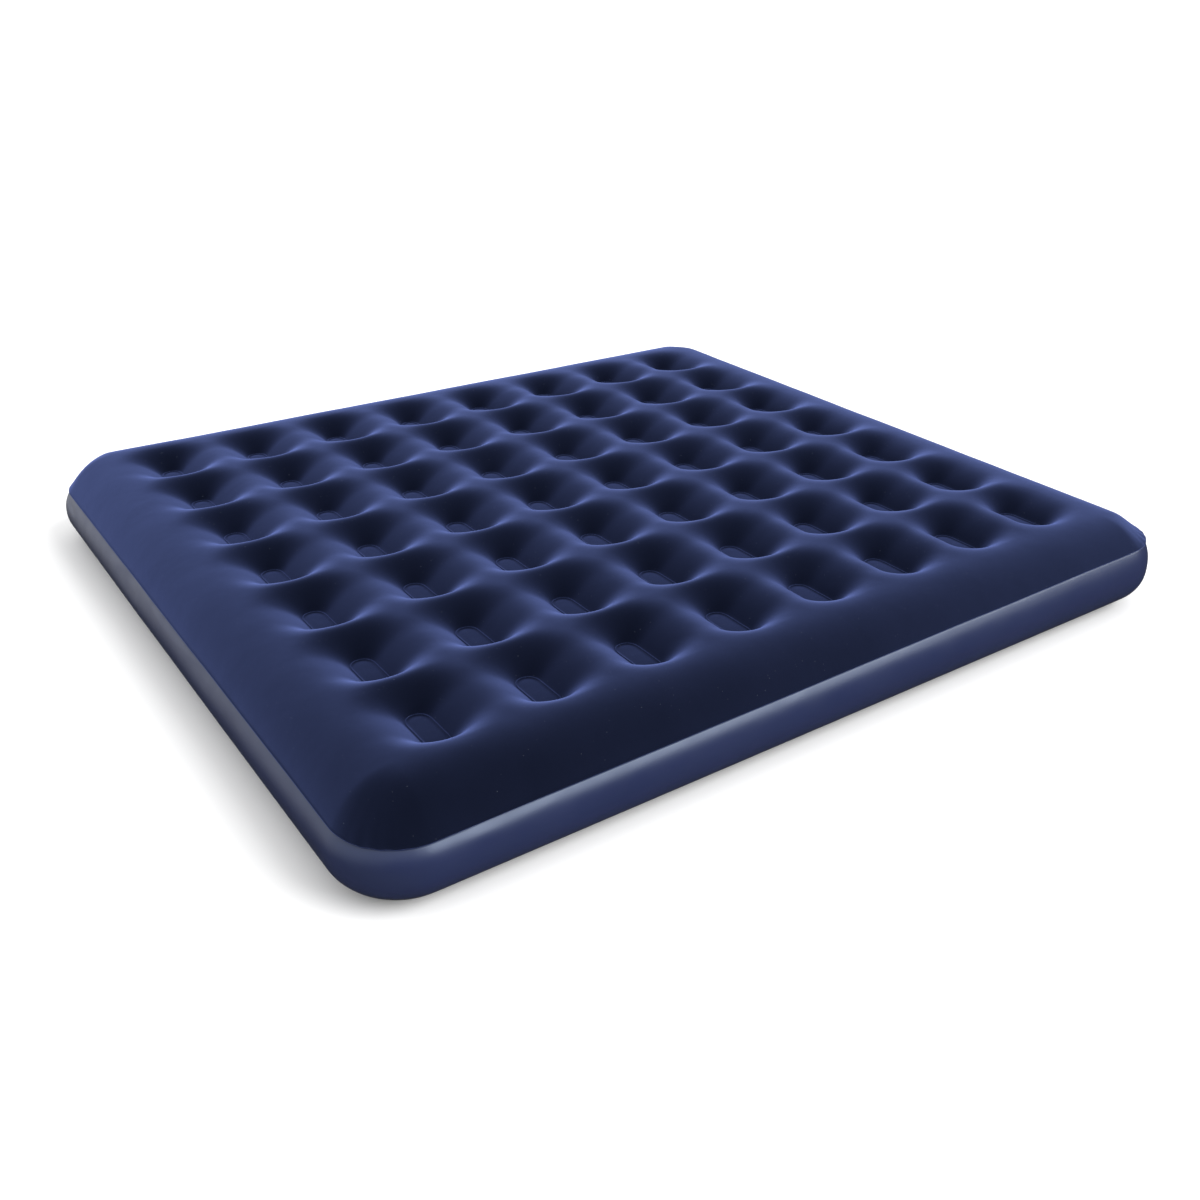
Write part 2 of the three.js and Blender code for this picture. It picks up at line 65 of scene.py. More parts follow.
PAD_RADIUS = (PAIR_HIGH.x - PAIR_LOW.x - PITCH_X) / 2 + COIL_INSET - PEEL
PAD_STRAIGHT = (PAIR_HIGH.y - PAIR_LOW.y) / 2 + COIL_INSET - PAD_RADIUS   # half its straight side
BASE_LOW, BASE_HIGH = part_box("valve_base")
VALVE_Y = (BASE_LOW.y + BASE_HIGH.y) / 2
VALVE_Z = (BASE_LOW.z + BASE_HIGH.z) / 2
VALVE_RADIUS = (BASE_HIGH.y - BASE_LOW.y) / 2
FLANGE_DEPTH = 5.8 * MM                  # from the valve base's outer end to the wall behind its flange
FLANGE_FACE = BASE_HIGH.x - FLANGE_DEPTH

# ---- How the sheets swell ----
INNER_CREST = HEIGHT - 2 * MM            # level of the film far from every pad
RIM_DROP = 9 * MM                        # the film is this much lower round the grid
RIM_INSIDE = 110 * MM                    # the drop begins this far inside the grid's edge
RIM_OUTSIDE = 60 * MM                    # and ends this far outside it
RIM_TILT = 6 * MM                        # the crest is this much lower at +X and higher at -X
SEAM_TILT = 10 * MM                      # the seam is this much higher at +X and lower at -X
CORNER_DROP = 19 * MM                    # the crest is this much lower over a corner
CORNER_SPREAD = 2.4                      # the drop covers more of the corner when larger
RIM_CURVE = 2.7                          # power of the margin's section; 2 is a parabola
WELL_REACH_X = 110 * MM                  # a pad pulls the film down as far as this beside it
WELL_REACH_Y = 66 * MM                   # and as far as this beyond its ends
WELL_CURVE = 2.15                        # power of a dimple's wall, steeper at the pad when larger
WIDEST_HEIGHT = 84 * MM                  # where the side wall stands out most
ROLL_REACH = 105 * MM                    # the width of the side wall's curl under the bed
LOWER_SEAM_ANGLE = 50                    # degrees down the curl
SHOULDER_CURVE = 2.6                     # power of the wall's section above its widest place
FLAT_ROUND_VALVE = 45 * MM               # the wall turns flat over this distance from the flange
UNEVENNESS = 1.0 * MM                    # slow rise and fall of the whole film
WAVES = 4.1                              # of it to a metre
RIPPLES = 11                             # finer ones to a metre
RIPPLE_SHARE = 0.6                       # their height as a share of the waves'
SEAM_WANDER = 1.2 * MM                   # rise and fall of the top seam
SEAM_WANDERS = 6                         # of it to a metre
RIPPLE_LAYER, SEAM_LAYER = 7, 3          # heights in the noise, so that its uses don't repeat
PUCKER = 1.3 * MM                        # ripples of the flocked sheet where it turns a corner
PUCKERS = 7                              # ripples in one corner
PUCKER_START = 0.6                       # share of the way out over the margin where they begin
WALL_TOP = 6.5 * MM                      # the wall leaves its weld this far below the seam
WALL_GRADING = 1.5                       # power that sets the rings closer near the wall's top
BOTTOM_FLATTENED = 16 * MM               # the bottom dimples are this much shallower, to lie flat

# ---- Fineness of the nets ----
SIDE_STEPS_X = 8                         # along a cell's side
SIDE_STEPS_Y = 12
FUNNEL_STEPS = 9                         # from a pad's edge to its cell's border
CORNER_STEPS = 24                        # round a corner of the bed
MARGIN_STEPS = 12                        # from the outer cells to the seam
WALL_STEPS = 12                          # from the wall's top to its widest place
CURL_START = 8                           # degrees down the wall's curl, of its first ring
CURL_STEP = 6                            # degrees between its rings
BASE_CURL_STEP = 8                       # and between the bottom sheet's

# ---- Air ----
AIR_PRESSURE = 4.0
CLOTH_FRAMES = 20
TOP_CAP = 3 * MM                         # no point of the top sheet moves further than this
WALL_CAP = 2 * MM
HELD_MARGIN = 0.97                       # share of the margin beyond which the top sheet is held
HELD_AT_SEAM = 14 * MM                   # the wall is held down to here below the seam
HELD_CURL = 4                            # degrees of curl held above the lower seam
HELD_ROUND_VALVE = 2.2                   # valve radii round its middle where the wall is held

# ---- Camera and light ----
CAMERA_PLACE = (-1.5152, -2.2413, 1.3292)
CAMERA_AZIMUTH = 34.889                  # degrees from +Y towards +X
CAMERA_ELEVATION = 27.943                # degrees down
CAMERA_ROLL = 0.56                       # degrees
SENSOR_WIDTH = 36                        # millimetres, as is the lens
LENS = 36.68
FAR_CLIP = 1000
FLOOR_SIZE = 600
BRIGHT_SIDE = Vector((-0.12, 0.3, 0.95)).normalized()
NOISE_SPAN = (0.3, 0.7)                  # most of a noise texture's values lie in it


def camera():
    """The camera at the photograph's viewing angle."""
    azimuth, elevation, roll = map(math.radians, (CAMERA_AZIMUTH, CAMERA_ELEVATION, CAMERA_ROLL))
    forward = Vector((math.sin(azimuth) * math.cos(elevation),
                      math.cos(azimuth) * math.cos(elevation),
                      -math.sin(elevation)))
    data = bpy.data.cameras.new("camera")
    data.sensor_width = SENSOR_WIDTH
    data.lens = LENS
    data.clip_end = FAR_CLIP
    obj = bpy.data.objects.new("camera", data)
    turn = forward.to_track_quat("-Z", "Y") @ Matrix.Rotation(roll, 4, "Z").to_quaternion()
    obj.rotation_euler = turn.to_euler()
    obj.location = CAMERA_PLACE
    bpy.context.scene.collection.objects.link(obj)
    bpy.context.scene.camera = obj


# ---- Net of the sheets ----
class Net:
    """Points and faces of a sheet, with points at one place, to 0.01 mm, shared."""

    def __init__(self):
        self.points = []
        self.faces = []
        self.by_place = {}

    def point(self, x, y, z):
        key = (round(x, 6), round(y, 6), round(z, 5))
        if key not in self.by_place:
            self.by_place[key] = len(self.points)
            self.points.append((x, y, z))
        return self.by_place[key]

    def face(self, *corners):
        """A face, unless its corners fall together."""
        distinct = [c for i, c in enumerate(corners) if c != corners[i - 1]]
        if len(distinct) > 2:
            self.faces.append(distinct)

    def band(self, inner, outer):
        """Quads between two closed loops of the same length."""
        for i in range(len(outer)):
            j = (i + 1) % len(outer)
            self.face(inner[i], outer[i], outer[j], inner[j])

    def bands(self, loops):
        """Quads between each loop and the next."""
        for inner, outer in zip(loops, loops[1:]):
            self.band(inner, outer)


def smooth_step(value):
    """0 up to 0, 1 from 1, and a smooth rise between."""
    value = min(1.0, max(0.0, value))
    return value * value * (3 - 2 * value)


def well(x, y):
    """1 on a pad whose middle is the origin, falling smoothly to 0 at the end of its reach."""
    beside, beyond = abs(x), max(0.0, abs(y) - PAD_STRAIGHT)
    distance = math.hypot(beside, beyond)
    if distance <= PAD_RADIUS:
        return 1.0
    reach = distance / math.hypot(beside / WELL_REACH_X, beyond / WELL_REACH_Y)
    part = 1 - (distance - PAD_RADIUS) / reach
    return part ** WELL_CURVE if part > 0 else 0.0


def free_height(x, y):
    """Height of the top film if no pad held it down: level inside, curving down to the seam."""
    beyond_x, beyond_y = abs(x) - GRID_X, abs(y) - GRID_Y
    drop_x, drop_y = (smooth_step((beyond + RIM_INSIDE) / (RIM_INSIDE + RIM_OUTSIDE))
                      for beyond in (beyond_x, beyond_y))
    tilt = max(-1.0, min(1.0, x / GRID_X))
    crest = INNER_CREST - (RIM_DROP + RIM_TILT * tilt) * (drop_x + drop_y - drop_x * drop_y)
    out_x, out_y = max(0.0, beyond_x), max(0.0, beyond_y)
    out = math.hypot(out_x, out_y) / MARGIN
    crest -= CORNER_DROP * smooth_step(CORNER_SPREAD * out_x * out_y / MARGIN ** 2)
    seam = SEAM_HEIGHT + SEAM_TILT * tilt
    return seam + (crest - seam) * (1 - out ** RIM_CURVE)


def pads_round(x, y):
    """The place of x, y measured from the middle of each pad round about."""
    column = round((x + GRID_X) / PITCH_X - 0.5)
    row = round((y + GRID_Y) / PITCH_Y - 0.5)
    for j in range(max(0, row - 1), min(ROWS, row + 2)):
        for i in range(max(0, column - 1), min(COLUMNS, column + 2)):
            yield x - (i + 0.5) * PITCH_X + GRID_X, y - (j + 0.5) * PITCH_Y + GRID_Y


def film_height(x, y):
    """Height of the top film, held down by the pads round about."""
    free = math.prod(1 - well(*place) for place in pads_round(x, y))
    waves = noise.noise(Vector((x, y, 0)) * WAVES)
    ripples = noise.noise(Vector((x, y, RIPPLE_LAYER)) * RIPPLES)
    uneven = UNEVENNESS * (waves + RIPPLE_SHARE * ripples)
    return PAD_HEIGHT + (free_height(x, y) + uneven - PAD_HEIGHT) * free


def cell_border():
    """Points round a cell, anticlockwise from the middle of its +X side."""
    half_x, half_y = PITCH_X / 2, PITCH_Y / 2
    quarter = [(half_x, half_y * 2 * i / SIDE_STEPS_Y) for i in range(SIDE_STEPS_Y // 2)]
    quarter += [(half_x * (1 - 2 * i / SIDE_STEPS_X), half_y) for i in range(SIDE_STEPS_X // 2)]
    upper = quarter + [(0, half_y)] + [(-x, y) for x, y in reversed(quarter[1:])] + [(-half_x, 0)]
    return upper + [(x, -y) for x, y in reversed(upper[1:-1])]


def pad_loop(inset=0.0):
    """Points round a pad, that far inside its edge, one for each of the border's.

    The border's corners go with the middles of the pad's quarter arcs."""
    corner = SIDE_STEPS_Y // 2
    quarter = corner + SIDE_STEPS_X // 2
    half_arc = PAD_RADIUS * math.pi / 4
    points = []
    for i in range(quarter):
        if i <= corner:
            run = (PAD_STRAIGHT + half_arc) * i / corner
        else:
            run = PAD_STRAIGHT + half_arc * (1 + (i - corner) / (quarter - corner))
        angle = max(0.0, run - PAD_STRAIGHT) / PAD_RADIUS
        radius = PAD_RADIUS - inset
        points.append((radius * math.cos(angle), min(run, PAD_STRAIGHT) + radius * math.sin(angle)))
    tip = PAD_STRAIGHT + PAD_RADIUS - inset
    upper = points + [(0, tip)] + [(-x, y) for x, y in reversed(points[1:])]
    upper.append((-points[0][0], 0))
    return upper + [(x, -y) for x, y in reversed(upper[1:-1])]


# Inset from the pad's edge and lift, in millimetres: a welded rim bead round a nearly flat pad.
PAD_SECTION = [(0.0, 0.0), (1.2, 1.7), (2.7, 2.3), (4.2, 1.0), (6.0, 0.1), (11.0, 0.3), (18.0, 0.6)]


def add_cell(net, centre, place):
    """One dimple: its pad, and the film that rises from it to the cell's border.

    place turns a height on the top sheet into the height wanted."""
    loops = []
    for inset, lift in reversed(PAD_SECTION):
        height = place(PAD_HEIGHT + lift * MM)
        loops.append([net.point(centre[0] + x, centre[1] + y, height) for x, y in pad_loop(inset * MM)])
    close_pad(net, loops[0])
    for step in range(1, FUNNEL_STEPS + 1):
        out = step / FUNNEL_STEPS
        loop = []
        for (pad_x, pad_y), (edge_x, edge_y) in zip(pad_loop(), cell_border()):
            x = centre[0] + pad_x + (edge_x - pad_x) * out
            y = centre[1] + pad_y + (edge_y - pad_y) * out
            loop.append(net.point(x, y, place(film_height(x, y))))
        loops.append(loop)
    net.bands(loops)


def close_pad(net, loop):
    """Quads across a pad's innermost loop, between points that mirror each other in its long axis."""
    count = len(loop)
    for i in range(-(count // 4), count // 4):
        across, next_across = count // 2 - i, count // 2 - i - 1
        net.face(loop[i], loop[(i + 1) % count], loop[next_across % count], loop[across % count])


def each_cell():
    """The middle of each coil's cell."""
    for row in range(ROWS):
        for column in range(COLUMNS):
            yield (column + 0.5) * PITCH_X - GRID_X, (row + 0.5) * PITCH_Y - GRID_Y


def outline():
    """Samples round the bed, anticlockwise: a point on the grid's edge, and the way out from it."""
    along_x = [GRID_X * (2 * i / (SIDE_STEPS_X * COLUMNS) - 1) for i in range(SIDE_STEPS_X * COLUMNS + 1)]
    along_y = [GRID_Y * (2 * i / (SIDE_STEPS_Y * ROWS) - 1) for i in range(SIDE_STEPS_Y * ROWS + 1)]
    sides = [[(GRID_X, y) for y in along_y], [(x, GRID_Y) for x in reversed(along_x)],
             [(-GRID_X, y) for y in reversed(along_y)], [(x, -GRID_Y) for x in along_x]]
    samples = []
    for turn, side in enumerate(sides):
        samples += [(x, y, 90 * turn) for x, y in side]
        x, y = side[-1]
        samples += [(x, y, 90 * (turn + i / CORNER_STEPS)) for i in range(1, CORNER_STEPS)]
    return [(x, y, math.radians(angle)) for x, y, angle in samples]


OUTLINE = outline()


def ring(net, reach, height):
    """A closed ring of points round the bed; height is a function of the sample."""
    loop = []
    for sample in OUTLINE:
        x, y, angle = sample
        loop.append(net.point(x + reach * math.cos(angle), y + reach * math.sin(angle), height(sample)))
    return loop


def seam_height(sample):
    """The top seam, a little uneven as a hand-fed weld is."""
    x, y, angle = sample
    place = Vector((x + math.cos(angle), y + math.sin(angle), SEAM_LAYER))
    wander = SEAM_WANDER * noise.noise(place * SEAM_WANDERS)
    return SEAM_HEIGHT + SEAM_TILT * x / GRID_X + wander


def pucker(sample, out):
    """Ripples across the margin at a corner, strongest at the seam."""
    angle = sample[2]
    corner = math.sin(2 * angle) ** 2
    growth = max(0.0, out - PUCKER_START) / (1 - PUCKER_START)
    return PUCKER * corner * math.sin(4 * PUCKERS * angle) * growth


# Steps out and down from the seam, in millimetres: the cut edge of the flocked sheet over the wall.
LAP_SECTION = [(0.0, 0.0), (1.3, -0.6), (1.9, -1.8), (1.8, -3.2), (0.9, -4.0)]


def add_margin(net):
    """The rolled edge of the top sheet, from the outer cells down to its cut edge at the seam."""
    loops = []
    for step in range(MARGIN_STEPS):
        out = math.sin(math.pi / 2 * step / MARGIN_STEPS)
        loop = []
        for sample in OUTLINE:
            x, y, angle = sample
            px, py = x + MARGIN * out * math.cos(angle), y + MARGIN * out * math.sin(angle)
            loop.append(net.point(px, py, film_height(px, py) + pucker(sample, out)))
        loops.append(loop)
    for outward, upward in LAP_SECTION:
        loops.append(ring(net, MARGIN + outward * MM,
                          lambda s: seam_height(s) + upward * MM + pucker(s, 1.0)))
    net.bands(loops)


def wall_reach(sample, height, reach):
    """How far out the wall stands, turned flat round the valve on the +X side."""
    x, y, angle = sample
    beside = math.hypot(y - VALVE_Y, height - VALVE_Z) - VALVE_RADIUS
    flat = smooth_step(1 - beside / FLAT_ROUND_VALVE) if angle == 0 else 0.0
    return reach + (FLANGE_FACE - GRID_X - reach) * flat


def wall_ring(net, reach, height):
    """A closed ring of the side wall; height is a function of the sample."""
    loop = []
    for sample in OUTLINE:
        x, y, angle = sample
        z = height(sample)
        out = wall_reach(sample, z, reach)
        loop.append(net.point(x + out * math.cos(angle), y + out * math.sin(angle), z))
    return loop


# Steps in and down from the seam, in millimetres: the wall's weld under the flocked sheet.
WELD_SECTION = [(1.5, 2.0), (3.5, 4.5)]


def wall_height(sample, part):
    """Height of the wall when it is that part of the way down to its widest place."""
    top = seam_height(sample) - WALL_TOP
    return top + (WIDEST_HEIGHT - top) * part


def wall_rings(net):
    """Rings down the side wall: out over the shoulder to the widest place, then round the curl."""
    loops = [wall_ring(net, MARGIN - inward * MM, lambda s: seam_height(s) - down * MM)
             for inward, down in WELD_SECTION]
    for step in range(WALL_STEPS + 1):
        part = (step / WALL_STEPS) ** WALL_GRADING
        reach = MARGIN + BULGE * (1 - (1 - part) ** SHOULDER_CURVE)
        loops.append(wall_ring(net, reach, lambda s: wall_height(s, part)))
    for angle in range(CURL_START, LOWER_SEAM_ANGLE + 1, CURL_STEP):
        reach, low = curl_point(angle)
        loops.append(wall_ring(net, reach, lambda s: low))
    return loops


def curl_point(angle):
    """Reach and height on the wall's curl, that many degrees below its widest place."""
    turn = math.radians(angle)
    return MARGIN + BULGE - ROLL_REACH * (1 - math.cos(turn)), WIDEST_HEIGHT * (1 - math.sin(turn))


def mesh_object(name, net):
    """A smooth-shaded object of the net."""
    mesh = bpy.data.meshes.new(name)
    mesh.from_pydata(net.points, [], net.faces)
    mesh.update()
    mesh.polygons.foreach_set("use_smooth", [True] * len(mesh.polygons))
    obj = bpy.data.objects.new(name, mesh)
    bpy.context.scene.collection.objects.link(obj)
    return obj


# Steps out and up from the lower seam, in millimetres: the bottom sheet's edge welded up the wall.
LOWER_LAP_SECTION = [(2.6, 0.4), (3.8, 2.4), (4.6, 5.2), (5.4, 8.2), (4.6, 8.6), (2.6, 6.0)]


def top_sheet():
    """The flocked sheet: dimples, the rolled margin and the cut edge over the wall."""
    net = Net()
    for centre in each_cell():
        add_cell(net, centre, lambda height: height)
    add_margin(net)
    return mesh_object("flocked_top", net)


def side_wall():
    """The film band all round, from its weld under the flocked sheet to the lower seam."""
    net = Net()
    net.bands(wall_rings(net))
    return mesh_object("vinyl_wall", net)


def below(height):
    """The bottom sheet's height under a place where the top sheet has this height."""
    return max(0.0, HEIGHT - height - BOTTOM_FLATTENED)


def bottom_sheet():
    """The sheet on the ground: shallower dimples, a curled edge, and its lap up the wall."""
    net = Net()
    for centre in each_cell():
        add_cell(net, centre, below)
    loops = [ring(net, 0.0, lambda s: below(film_height(s[0], s[1])))]
    for angle in range(90, LOWER_SEAM_ANGLE - 1, -BASE_CURL_STEP):
        reach, height = curl_point(angle)
        loops.append(ring(net, reach, lambda s: height))
    for outward, upward in LOWER_LAP_SECTION:
        loops.append(ring(net, reach + outward * MM, lambda s: height + upward * MM))
    net.bands(loops)
    net.faces = [list(reversed(face)) for face in net.faces]
    return mesh_object("vinyl_bottom", net)


# ---- Cloth ----
def blow_up(obj, is_held, cap):
    """Lets air pressure shape a film between its welds by cloth simulation, and applies the result.

    is_held says which points are welded; no point moves further than cap."""
    rest = [v.co.copy() for v in obj.data.vertices]
    welded = obj.vertex_groups.new(name="welded")
    welded.add([v.index for v in obj.data.vertices if is_held(v.co)], 1.0, "REPLACE")
    cloth = obj.modifiers.new("air", "CLOTH")
    settings = cloth.settings
    settings.quality = 3
    settings.mass = 0.35
    settings.tension_stiffness = settings.compression_stiffness = 40
    settings.shear_stiffness = 15
    settings.bending_stiffness = 0.6
    settings.use_pressure = True
    settings.uniform_pressure_force = AIR_PRESSURE
    settings.effector_weights.gravity = 0
    settings.vertex_group_mass = welded.name
    settings.pin_stiffness = 1.0
    cloth.collision_settings.use_collision = False
    scene = bpy.context.scene
    for number in range(1, CLOTH_FRAMES + 1):
        scene.frame_set(number)
    shaped = obj.evaluated_get(bpy.context.evaluated_depsgraph_get())
    swollen = [v.co.copy() for v in shaped.data.vertices]
    obj.modifiers.remove(cloth)
    scene.frame_set(1)
    for vertex, start, end in zip(obj.data.vertices, rest, swollen):
        move = end - start
        vertex.co = start + move * min(1.0, cap / max(move.length, 1e-9))
    obj.vertex_groups.remove(welded)
    obj.data.update()


def smooth(obj):
    """One subdivision."""
    finer = obj.modifiers.new("finer", "SUBSURF")
    finer.levels = finer.render_levels = 1


# ---- Materials ----
class Look:
    """A procedural material: a Principled shader, and nodes that vary it from place to place."""

    def __init__(self, name, colour, roughness):
        self.material = bpy.data.materials.new(name)
        self.material.use_nodes = True
        self.tree = self.material.node_tree
        self.shader = self.tree.nodes["Principled BSDF"]
        self.set("Base Color", (*colour, 1))
        self.set("Roughness", roughness)
        self.place = self.tree.nodes.new("ShaderNodeTexCoord").outputs["Object"]
        self.normal = None

    def set(self, socket, value):
        """Sets a value that is the same all over."""
        self.shader.inputs[socket].default_value = value

    def noise(self, scale, detail=2.0, stretch=(1, 1, 1)):
        """Noise of that many features to a metre, from 0 to 1."""
        mapping = self.tree.nodes.new("ShaderNodeMapping")
        mapping.inputs["Scale"].default_value = stretch
        self.tree.links.new(self.place, mapping.inputs["Vector"])
        node = self.tree.nodes.new("ShaderNodeTexNoise")
        node.inputs["Scale"].default_value = scale
        node.inputs["Detail"].default_value = detail
        self.tree.links.new(mapping.outputs["Vector"], node.inputs["Vector"])
        return node.outputs["Fac"]

    def specks(self, scale, size):
        """1 on small scattered dots, 0 between them."""
        node = self.tree.nodes.new("ShaderNodeTexVoronoi")
        node.inputs["Scale"].default_value = scale
        self.tree.links.new(self.place, node.inputs["Vector"])
        return self.range(node.outputs["Distance"], (size, size / 2), (0, 1))

    def range(self, value, span, result):
        """Stretches the values in span over those in result, and holds the others at its ends."""
        node = self.tree.nodes.new("ShaderNodeMapRange")
        for name, number in zip(("From Min", "From Max", "To Min", "To Max"), (*span, *result)):
            node.inputs[name].default_value = number
        self.tree.links.new(value, node.inputs["Value"])
        return node.outputs["Result"]

    def multiply(self, first, second):
        node = self.tree.nodes.new("ShaderNodeMath")
        node.operation = "MULTIPLY"
        self.tree.links.new(first, node.inputs[0])
        self.tree.links.new(second, node.inputs[1])
        return node.outputs["Value"]

    def blend(self, share, first, second):
        """The first colour where share is 0, the second where it is 1; a colour may be a socket."""
        node = self.tree.nodes.new("ShaderNodeMix")
        node.data_type = "RGBA"
        self.tree.links.new(share, node.inputs["Factor"])
        for socket, colour in ((node.inputs[6], first), (node.inputs[7], second)):
            if isinstance(colour, tuple):
                socket.default_value = (*colour, 1)
            else:
                self.tree.links.new(colour, socket)
        return node.outputs[2]

    def drive(self, socket, value):
        """Lets a node's output set a value from place to place."""
        self.tree.links.new(value, self.shader.inputs[socket])

    def bump(self, value, depth, strength=1.0):
        """Raises the surface by up to depth; further bumps add to the ones before."""
        node = self.tree.nodes.new("ShaderNodeBump")
        node.inputs["Distance"].default_value = depth
        node.inputs["Strength"].default_value = strength
        self.tree.links.new(value, node.inputs["Height"])
        if self.normal is not None:
            self.tree.links.new(self.normal, node.inputs["Normal"])
        self.normal = node.outputs["Normal"]
        self.drive("Normal", self.normal)


def flock_material():
    """Short dense nap: dark seen straight on, blue at a slant, brushed this way and that."""
    look = Look("navy_flock", (0.004, 0.005, 0.012), 0.9)
    look.set("Specular IOR Level", 0.0)
    brushed = look.noise(6, 3)
    nap = look.noise(1900)
    dusty = look.range(look.noise(45), (0.52, 0.56), (0, 1))
    dust = look.multiply(look.specks(110, 0.075), dusty)
    base = look.blend(look.multiply(nap, brushed), (0.001, 0.0015, 0.003), (0.006, 0.008, 0.020))
    look.drive("Base Color", look.blend(look.multiply(dust, nap), base, (0.16, 0.18, 0.22)))
    look.set("Sheen Weight", 1.0)
    look.set("Sheen Tint", (0.158, 0.215, 0.543, 1))
    look.set("Sheen Roughness", 0.465)
    look.bump(brushed, 0.004, 0.5)
    look.bump(look.noise(30, 3), 0.0006, 0.35)
    look.bump(nap, 0.0002, 0.45)
    return look.material


def vinyl_material(name, dark, light):
    """Smooth calendered film with a fine grain, slightly wavy, hazier in places."""
    look = Look(name, dark, 0.3)
    clouds = look.noise(7, 3)
    look.drive("Base Color", look.blend(clouds, dark, light))
    look.drive("Roughness", look.range(look.noise(19, 4), NOISE_SPAN, (0.30, 0.38)))
    look.set("Specular Tint", (0.72, 0.84, 1.0, 1))
    look.set("Specular IOR Level", 0.6)
    look.bump(look.noise(7, stretch=(1, 1, 2)), 0.004, 0.15)
    look.bump(look.noise(1400), 0.00012, 0.35)
    return look.material


def film_material():
    """Milky inner film of the coils, faintly ribbed."""
    look = Look("inner_film", (0.22, 0.25, 0.33), 0.35)
    look.drive("Base Color", look.blend(look.noise(30, 3), (0.20, 0.23, 0.31), (0.27, 0.30, 0.39)))
    look.set("Alpha", 0.8)
    look.bump(look.noise(60, stretch=(1, 1, 6)), 0.0008, 0.5)
    return look.material


def plastic_material(name, dark, light, roughness):
    """Moulded plastic with a spark-eroded grain and slight flow marks."""
    look = Look(name, dark, roughness)
    look.drive("Base Color", look.blend(look.noise(90, 3, stretch=(1, 4, 4)), dark, light))
    polish = look.range(look.noise(240, 3), NOISE_SPAN, (roughness - 0.06, roughness + 0.08))
    look.drive("Roughness", polish)
    look.bump(look.noise(3500), 0.00005, 0.5)
    return look.material


def rubber_material():
    """Matt rubber with a bloom of pale dust."""
    look = Look("seal_rubber", (0.02, 0.02, 0.022), 0.75)
    look.drive("Base Color", look.blend(look.noise(300, 4), (0.014, 0.014, 0.016), (0.05, 0.05, 0.055)))
    look.bump(look.noise(2200, 3), 0.00008, 0.6)
    return look.material


def floor_material():
    """Matt, and so pale that the floor all but joins the backdrop."""
    look = Look("pale_floor", (0.92, 0.92, 0.92), 0.9)
    look.set("Specular IOR Level", 0.0)
    return look.material


def use_material(obj, material):
    """Makes it the object's only material."""
    obj.data.materials.clear()
    obj.data.materials.append(material)


def floor():
    """A level white studio floor, far larger than the view."""
    bpy.ops.mesh.primitive_plane_add(size=FLOOR_SIZE)
    plane = bpy.context.object
    plane.name = "floor"
    use_material(plane, floor_material())
    plane.visible_glossy = False


def sun(name, towards, strength, spread):
    """A soft distant light, spread degrees wide; towards points from the bed to it."""
    data = bpy.data.lights.new(name, "SUN")
    data.energy = strength
    data.angle = math.radians(spread)
    obj = bpy.data.objects.new(name, data)
    obj.rotation_euler = Vector(towards).to_track_quat("Z", "Y").to_euler()
    bpy.context.scene.collection.objects.link(obj)


def studio_world():
    """Surroundings that are bright above and behind, and dark low in front, on a plain white backdrop."""
    world = bpy.data.worlds.new("studio")
    world.use_nodes = True
    nodes, links = world.node_tree.nodes, world.node_tree.links
    coords = nodes.new("ShaderNodeTexCoord")
    along = nodes.new("ShaderNodeVectorMath")
    along.operation = "DOT_PRODUCT"
    along.inputs[1].default_value = BRIGHT_SIDE
    links.new(coords.outputs["Generated"], along.inputs[0])
    ramp = nodes.new("ShaderNodeMapRange")
    ramp.interpolation_type = "SMOOTHSTEP"
    for name, value in (("From Min", -0.2), ("From Max", 0.45), ("To Min", 0.05), ("To Max", 1.2)):
        ramp.inputs[name].default_value = value
    links.new(along.outputs["Value"], ramp.inputs["Value"])
    seen = nodes.new("ShaderNodeLightPath").outputs["Is Camera Ray"]
    strength = nodes.new("ShaderNodeMix")
    strength.inputs["B"].default_value = 1.0
    links.new(seen, strength.inputs["Factor"])
    links.new(ramp.outputs["Result"], strength.inputs["A"])
    links.new(strength.outputs["Result"], nodes["Background"].inputs["Strength"])
    nodes["Background"].inputs["Color"].default_value = (1, 1, 1, 1)
    bpy.context.scene.world = world


def lighting():
    """The studio: its surroundings and one large soft light in front, to the right."""
    studio_world()
    bpy.context.scene.view_settings.view_transform = "Standard"
    sun("front_softbox", towards=(0.50, -0.66, 0.56), strength=3.1, spread=46)


def soften(node):
    """Rounds a moulded part's sharp edges a little, as a mould does."""
    weld = node.modifiers.new("weld", "WELD")
    weld.merge_threshold = 0.01 * MM
    bevel = node.modifiers.new("rounded", "BEVEL")
    bevel.width = 0.35 * MM
    bevel.segments = 2
    bevel.limit_method = "ANGLE"
    bevel.angle_limit = math.radians(32)
    bevel.harden_normals = True
    node.data.polygons.foreach_set("use_smooth", [True] * len(node.data.polygons))
    node.modifiers.new("normals", "WEIGHTED_NORMAL").keep_sharp = True


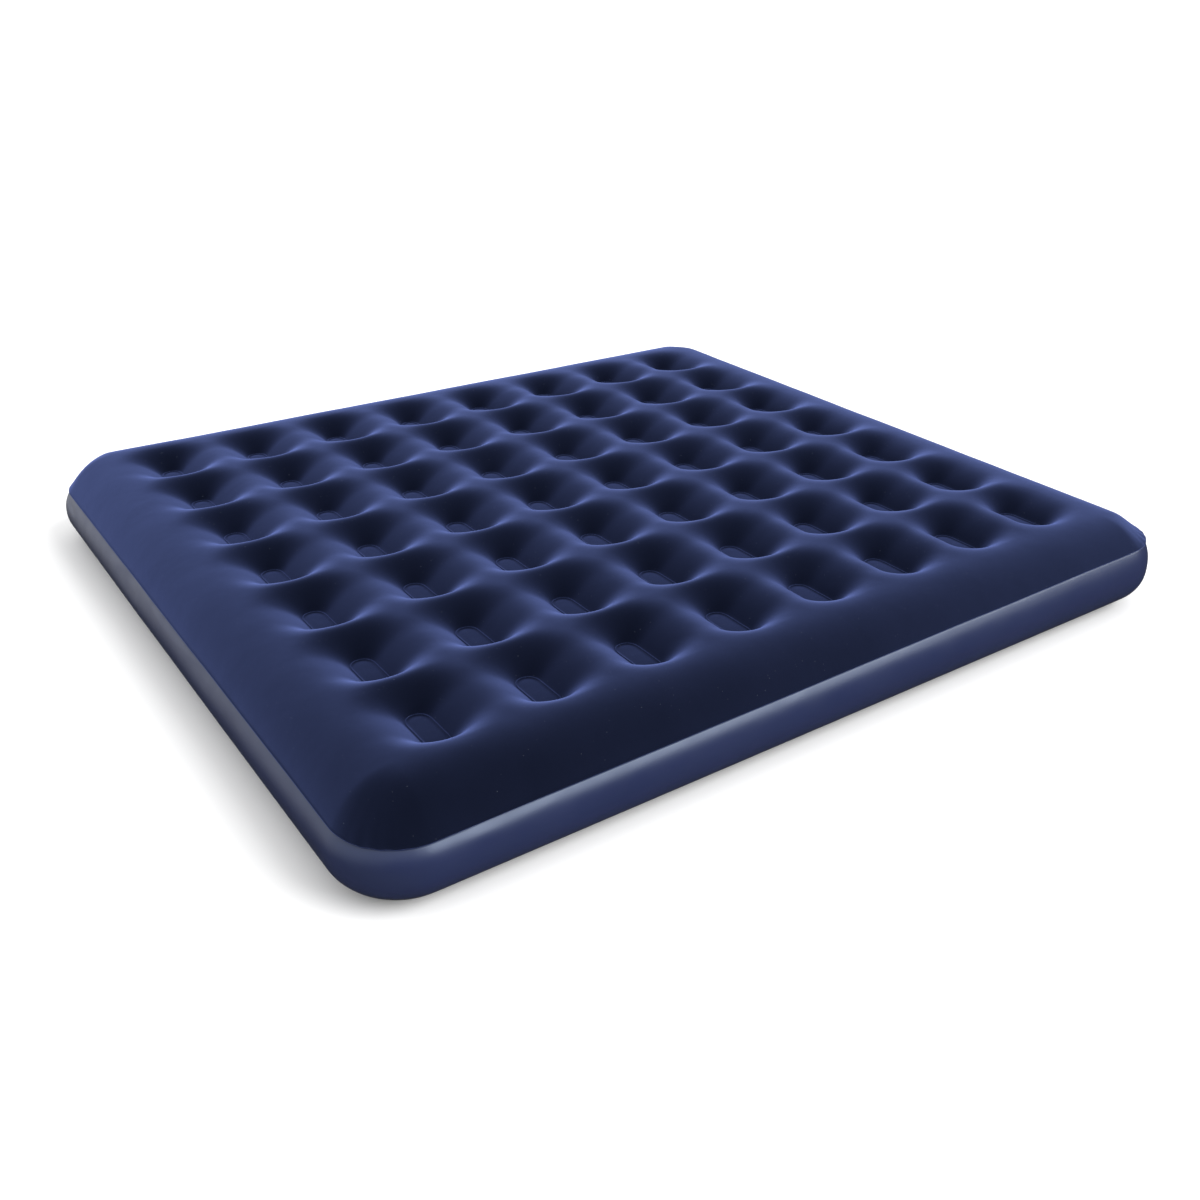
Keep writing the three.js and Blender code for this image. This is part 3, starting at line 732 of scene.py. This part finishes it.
def dress_cad_parts():
    """Materials for the CAD parts that keep their own shape: the valve and the coils."""
    body = plastic_material("valve_plastic", (0.010, 0.012, 0.020), (0.018, 0.021, 0.034), 0.42)
    cap = plastic_material("cap_plastic", (0.012, 0.018, 0.060), (0.020, 0.030, 0.085), 0.35)
    rubber = rubber_material()
    film = film_material()
    looks = {"valve_base": body, "valve_insert": body, "valve_neck": body, "flap_pin": body,
             "valve_patch": film, "valve_gasket": rubber, "check_flap": rubber, "cap_seal": rubber,
             "cap_tether": cap, "valve_cap": cap}
    for name, node in NODES.items():
        if name.startswith("coil_pair_"):
            use_material(node, film)
        elif name in looks:
            use_material(node, looks[name])
            soften(node)


def finish_piece(obj, node, look):
    """Gives a sheet its material and ties it to the CAD node that it stands for."""
    smooth(obj)
    use_material(obj, look)
    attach(obj, "bed")
    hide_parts(node)


def held_on_top(point):
    """Whether this point of the top sheet is welded, to a coil or to the wall."""
    beyond = math.hypot(max(0.0, abs(point.x) - GRID_X), max(0.0, abs(point.y) - GRID_Y))
    on_pad = any(well(*place) == 1 for place in pads_round(point.x, point.y))
    return on_pad or beyond > HELD_MARGIN * MARGIN


def held_on_wall(point):
    """Whether this point of the side wall is at a seam or by the valve."""
    lowest_free = curl_point(LOWER_SEAM_ANGLE - HELD_CURL)[1]
    between_seams = lowest_free < point.z < SEAM_HEIGHT - HELD_AT_SEAM
    from_valve = math.hypot(point.y - VALVE_Y, point.z - VALVE_Z)
    near_valve = point.x > GRID_X and from_valve < HELD_ROUND_VALVE * VALVE_RADIUS
    return near_valve or not between_seams


def build():
    """Makes the three sheets, blows up the two that show, and finishes every piece."""
    wall_vinyl = vinyl_material("navy_vinyl", (0.010, 0.015, 0.052), (0.015, 0.021, 0.066))
    # The bottom sheet gets a darker copy of the wall's vinyl: painted shade, for the dark line of shade
    # along the foot of the wall.
    painted_shade_vinyl = vinyl_material("vinyl_with_painted_shade", (0.003, 0.004, 0.012), (0.005, 0.006, 0.018))
    top = top_sheet()
    wall = side_wall()
    blow_up(top, held_on_top, TOP_CAP)
    blow_up(wall, held_on_wall, WALL_CAP)
    finish_piece(top, "top_sheet", flock_material())
    finish_piece(wall, "side_wall", wall_vinyl)
    finish_piece(bottom_sheet(), "bottom_sheet", painted_shade_vinyl)
    dress_cad_parts()


camera()
floor()
lighting()
build()
